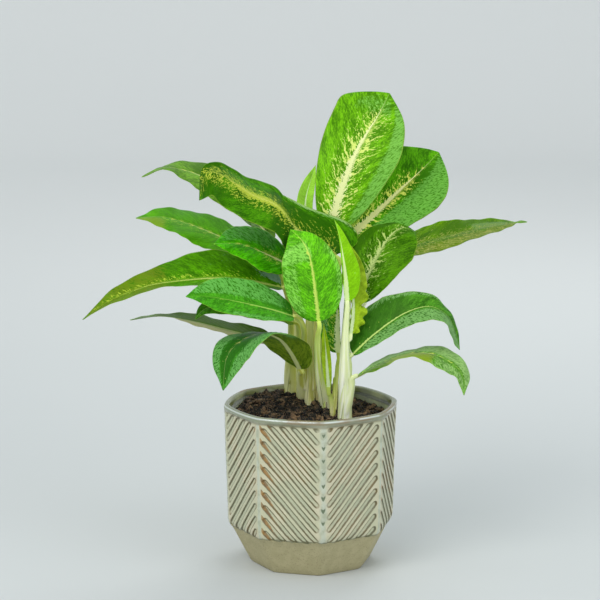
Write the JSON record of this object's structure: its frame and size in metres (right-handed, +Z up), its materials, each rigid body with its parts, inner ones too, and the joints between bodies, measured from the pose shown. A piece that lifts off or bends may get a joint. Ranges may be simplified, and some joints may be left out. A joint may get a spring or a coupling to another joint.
{
  "type": "potted chinese evergreen",
  "caption": "Leafy chinese evergreen with green and cream mottled leaves, standing in soil in a faceted stoneware pot with herringbone relief.",
  "frame": {"origin": "centre of the pot's flat underside, where it stands", "axes": "+Z up along the pot's axis; the side seen in the picture looks along -Y, +X is to the picture's right"},
  "size_m": [0.3503, 0.1565, 0.3704],
  "materials": {
    "glazed_stoneware": "grey-green glaze over tan ribs, matte unglazed foot",
    "peat_soil": "damp crumbly peat",
    "pale_stem": "smooth waxy",
    "leaf_green": "waxy satin, cream flecks along the veins",
    "young_leaf_lime": "waxy satin"
  },
  "bodies": {
    "root": {"pot": "glazed_stoneware", "soil": "peat_soil", "shoot_back": "pale_stem", "shoot_left": "pale_stem", "shoot_middle": "pale_stem", "shoot_tall": "pale_stem", "shoot_front": "pale_stem", "shoot_small": "pale_stem", "shoot_right": "pale_stem", "leaf_crown_tall": "leaf_green", "leaf_crown_right": "leaf_green", "leaf_young_back": "young_leaf_lime", "leaf_crown_left": "leaf_green", "leaf_far_left": "leaf_green", "leaf_left_upper": "leaf_green", "leaf_left_dark": "leaf_green", "leaf_left_long": "leaf_green", "leaf_left_silver": "leaf_green", "leaf_left_under": "leaf_green", "leaf_left_low": "leaf_green", "leaf_front_drooping": "leaf_green", "leaf_front_oval": "leaf_green", "leaf_young_folded": "young_leaf_lime", "leaf_young_frill": "young_leaf_lime", "leaf_right_dark": "leaf_green", "leaf_right_long": "leaf_green", "leaf_right_arching": "leaf_green", "leaf_right_low": "leaf_green", "leaf_inner_dark": "leaf_green", "leaf_sheath": "young_leaf_lime"}
  },
  "joints": []
}
